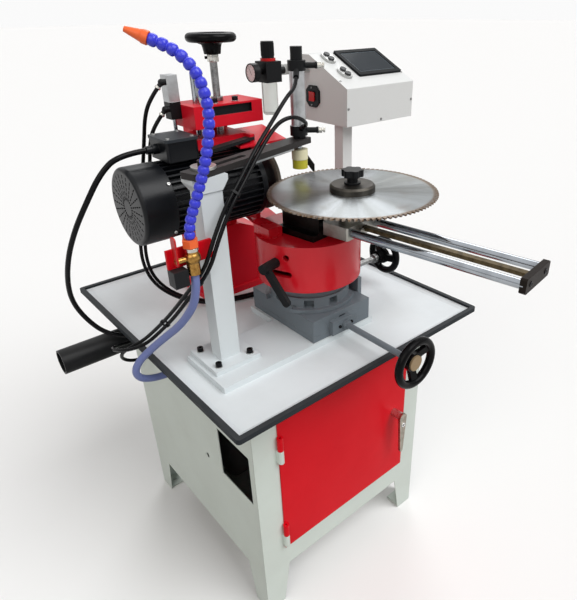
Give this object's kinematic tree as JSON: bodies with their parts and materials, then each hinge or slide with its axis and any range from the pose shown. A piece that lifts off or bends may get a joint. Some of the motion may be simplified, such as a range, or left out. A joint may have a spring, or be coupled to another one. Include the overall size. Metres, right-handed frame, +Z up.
{
  "type": "circular saw blade sharpener",
  "caption": "Floor-standing saw blade grinder with cabinet, drip tray, cross slide, swivelling blade slideway, lifting grinding head, press arm, coolant hose and control box.",
  "frame": {"origin": "on the floor, midway between the four anchor holes of the feet", "axes": "+X to the right along the door side, +Y to the back, +Z up"},
  "size_m": [0.965, 1.0451, 1.3444],
  "materials": {
    "cabinet_paint": "satin",
    "red_paint": "satin",
    "tray_paint": "satin",
    "edge_rubber": "matte",
    "black_plastic": "matte",
    "grey_paint": "satin",
    "steel": "brushed",
    "dark_steel": "blackened",
    "chrome": "polished",
    "aluminium": "anodised",
    "cast_red": "painted",
    "motor_paint": "satin",
    "abrasive": "matte",
    "brass": "satin",
    "blue_plastic": "gloss",
    "box_paint": "satin",
    "screen": "gloss",
    "red_plastic": "gloss",
    "hose_black": "satin",
    "hose_lavender": "satin",
    "white_plastic": "matte"
  },
  "bodies": {
    "frame": {"cabinet_front": "cabinet_paint", "cabinet_sides": "cabinet_paint", "tray": "tray_paint", "tray_trim": "edge_rubber", "coolant_tank": "white_plastic", "drain_pipe": "black_plastic", "bed_plate": "tray_paint", "column": "tray_paint", "fasteners": "dark_steel", "press_bar": "dark_steel", "press_cylinder": "aluminium", "slide_base": "grey_paint", "pedestal": "cast_red", "bridge": "cast_red", "stroke_cylinder": "aluminium", "box_post": "box_paint", "control_box": "box_paint", "touch_panel": "screen", "power_inlet": "black_plastic", "regulator": "black_plastic", "coolant_valve": "brass", "coolant_hose": "blue_plastic", "motor_cable": "hose_black", "stroke_hose_a": "hose_black", "stroke_hose_b": "hose_black", "press_hose_a": "hose_black", "press_hose_b": "hose_black", "supply_hose": "hose_lavender", "cable_ties": "black_plastic"},
    "door": {"door": "red_paint"},
    "lock_handle": {"lock_handle": "chrome"},
    "saddle": {"saddle": "grey_paint"},
    "front_handwheel": {"front_handwheel": "black_plastic"},
    "top_slide": {"top_slide": "grey_paint"},
    "side_handwheel": {"side_handwheel": "black_plastic"},
    "swivel": {"drum": "cast_red", "slideway_plate": "dark_steel", "slide_rods": "chrome", "end_plate": "dark_steel"},
    "clamp_lever": {"clamp_lever": "black_plastic"},
    "carriage": {"carriage": "steel"},
    "blade": {"blade": "steel", "blade_flanges": "dark_steel"},
    "star_knob": {"star_knob": "black_plastic"},
    "head": {"head_carriage": "cast_red", "motor_body": "motor_paint", "fan_cover": "motor_paint", "terminal_box": "black_plastic"},
    "top_handwheel": {"top_handwheel": "black_plastic"},
    "spindle": {"spindle": "steel", "grinding_wheel": "abrasive"},
    "press_rod": {"press_rod": "chrome"},
    "feed_pawl": {"feed_pawl": "dark_steel"},
    "rocker_switch": {"rocker_switch": "red_plastic"},
    "regulator_knob": {"regulator_knob": "black_plastic"},
    "valve_lever": {"valve_lever": "steel"},
    "button_a1": {"button_a1": "red_plastic"},
    "button_a2": {"button_a2": "white_plastic"},
    "button_b1": {"button_b1": "red_plastic"},
    "button_b2": {"button_b2": "white_plastic"}
  },
  "joints": [
    {"name": "door_hinge", "type": "hinge", "parent": "frame", "child": "door", "pos_m": [-0.2035, -0.302, 0.393], "axis": [0, 0, -1], "range_deg": [0, 110]},
    {"name": "lock_turn", "type": "hinge", "parent": "door", "child": "lock_handle", "pos_m": [0.168, -0.294, 0.412], "axis": [0, 1, 0], "range_deg": [0, 90]},
    {"name": "saddle_slide", "type": "slide", "parent": "frame", "child": "saddle", "axis": [0, 1, 0], "range_m": [-0.02, 0.008]},
    {"name": "front_wheel_turn", "type": "hinge", "parent": "frame", "child": "front_handwheel", "pos_m": [0.027, -0.468, 0.728], "axis": [0, 1, 0], "range_deg": [-1810, 730]},
    {"name": "cross_slide", "type": "slide", "parent": "saddle", "child": "top_slide", "axis": [1, 0, 0], "range_m": [-0.015, 0.015]},
    {"name": "side_wheel_turn", "type": "hinge", "parent": "saddle", "child": "side_handwheel", "pos_m": [0.286, -0.133, 0.7816], "axis": [1, 0, 0], "range_deg": [-1360, 1360]},
    {"name": "drum_swivel", "type": "hinge", "parent": "top_slide", "child": "swivel", "pos_m": [0.027, -0.133, 0.8209], "axis": [0, 0, 1], "range_deg": [-20, 20]},
    {"name": "clamp_turn", "type": "hinge", "parent": "swivel", "child": "clamp_lever", "pos_m": [-0.08931, -0.16635, 0.8869], "axis": [-0.9613, -0.2756, 0], "range_deg": [-40, 60]},
    {"name": "carriage_slide", "type": "slide", "parent": "swivel", "child": "carriage", "axis": [0.1392, -0.9903, 0], "range_m": [0, 0.25]},
    {"name": "blade_spin", "type": "hinge", "parent": "carriage", "child": "blade", "pos_m": [0.06, -0.244, 1.0279], "axis": [0, 0, 1], "continuous": true},
    {"name": "knob_turn", "type": "hinge", "parent": "blade", "child": "star_knob", "pos_m": [0.06, -0.244, 1.0459], "axis": [0, 0, 1], "range_deg": [0, 360]},
    {"name": "head_lift", "type": "slide", "parent": "frame", "child": "head", "axis": [0, 0, 1], "range_m": [-0.01, 0.012]},
    {"name": "top_wheel_turn", "type": "hinge", "parent": "frame", "child": "top_handwheel", "pos_m": [-0.066, 0.048, 1.1909], "axis": [0, 0, 1], "range_deg": [-910, 1090]},
    {"name": "spindle_spin", "type": "hinge", "parent": "head", "child": "spindle", "pos_m": [0.008, 0.015, 1.0149], "axis": [1, 0, 0], "continuous": true},
    {"name": "press_stroke", "type": "slide", "parent": "frame", "child": "press_rod", "axis": [0, 0, -1], "range_m": [0, 0.016]},
    {"name": "pawl_lift", "type": "hinge", "parent": "frame", "child": "feed_pawl", "pos_m": [0.06608, -0.05638, 1.0959], "axis": [-0.7314, -0.682, 0], "range_deg": [0, 20]},
    {"name": "rocker_tip", "type": "hinge", "parent": "frame", "child": "rocker_switch", "pos_m": [0.238, 0.095, 1.165], "axis": [0, 1, 0], "range_deg": [-10, 10]},
    {"name": "regulator_turn", "type": "hinge", "parent": "frame", "child": "regulator_knob", "pos_m": [0.11, 0.1, 1.256], "axis": [0, 0, 1], "range_deg": [-180, 180]},
    {"name": "valve_turn", "type": "hinge", "parent": "frame", "child": "valve_lever", "pos_m": [-0.326, -0.199, 0.972], "axis": [1, 0, 0], "range_deg": [0, 90]},
    {"name": "button_a1_press", "type": "slide", "parent": "frame", "child": "button_a1", "axis": [0, 0.4447, -0.8957], "range_m": [0, 0.002], "stiffness_N_per_m": 400},
    {"name": "button_a2_press", "type": "slide", "parent": "frame", "child": "button_a2", "axis": [0, 0.4447, -0.8957], "range_m": [0, 0.002], "stiffness_N_per_m": 400},
    {"name": "button_b1_press", "type": "slide", "parent": "frame", "child": "button_b1", "axis": [0, 0.4447, -0.8957], "range_m": [0, 0.002], "stiffness_N_per_m": 400},
    {"name": "button_b2_press", "type": "slide", "parent": "frame", "child": "button_b2", "axis": [0, 0.4447, -0.8957], "range_m": [0, 0.002], "stiffness_N_per_m": 400}
  ],
  "couplings": [
    {"joint": "front_wheel_turn", "follows": "saddle_slide", "rad_per_m": 1570.8},
    {"joint": "side_wheel_turn", "follows": "cross_slide", "rad_per_m": 1570.8},
    {"joint": "top_wheel_turn", "follows": "head_lift", "rad_per_m": 1570.8}
  ]
}
